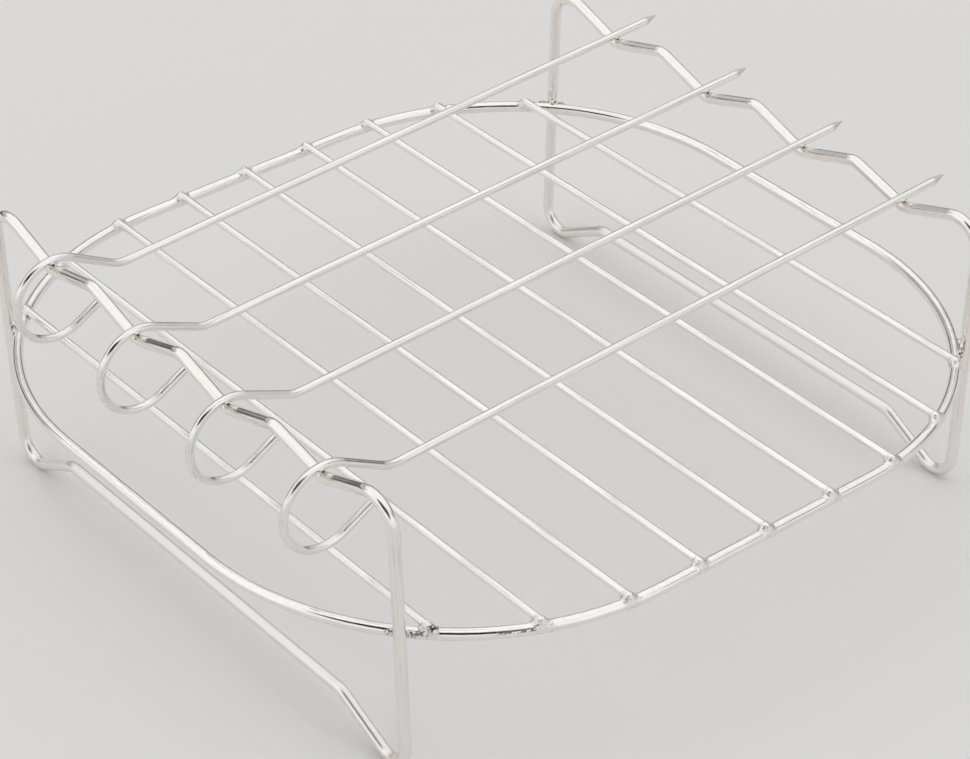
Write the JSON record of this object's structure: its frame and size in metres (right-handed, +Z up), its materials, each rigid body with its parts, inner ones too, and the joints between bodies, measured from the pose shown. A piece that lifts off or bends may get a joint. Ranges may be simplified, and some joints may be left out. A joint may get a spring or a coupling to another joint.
{
  "type": "air fryer skewer rack",
  "caption": "Two-tier wire rack: a rounded ring with a straight wire grid, held by two zigzag side frames that carry loose looped skewers.",
  "frame": {"origin": "middle of the floor under the rack, at the height of the four feet's undersides", "axes": "+X along the skewers from their looped handles to their points, +Y along the grid wires and side frames, +Z up"},
  "size_m": [0.2, 0.1946, 0.0728],
  "materials": {
    "frame_wire": "bright drawn stainless wire",
    "grid_wire": "bright drawn stainless wire",
    "skewer_wire": "bright drawn stainless wire, ground at the point"
  },
  "bodies": {
    "root": {"ring": "frame_wire", "handle_side_frame": "frame_wire", "point_side_frame": "frame_wire", "grid_wire_1": "grid_wire", "grid_wire_2": "grid_wire", "grid_wire_3": "grid_wire", "grid_wire_4": "grid_wire", "grid_wire_5": "grid_wire", "grid_wire_6": "grid_wire", "grid_wire_7": "grid_wire", "grid_wire_8": "grid_wire", "grid_wire_9": "grid_wire", "skewer_1": "skewer_wire", "skewer_2": "skewer_wire", "skewer_3": "skewer_wire", "skewer_4": "skewer_wire"}
  },
  "joints": []
}
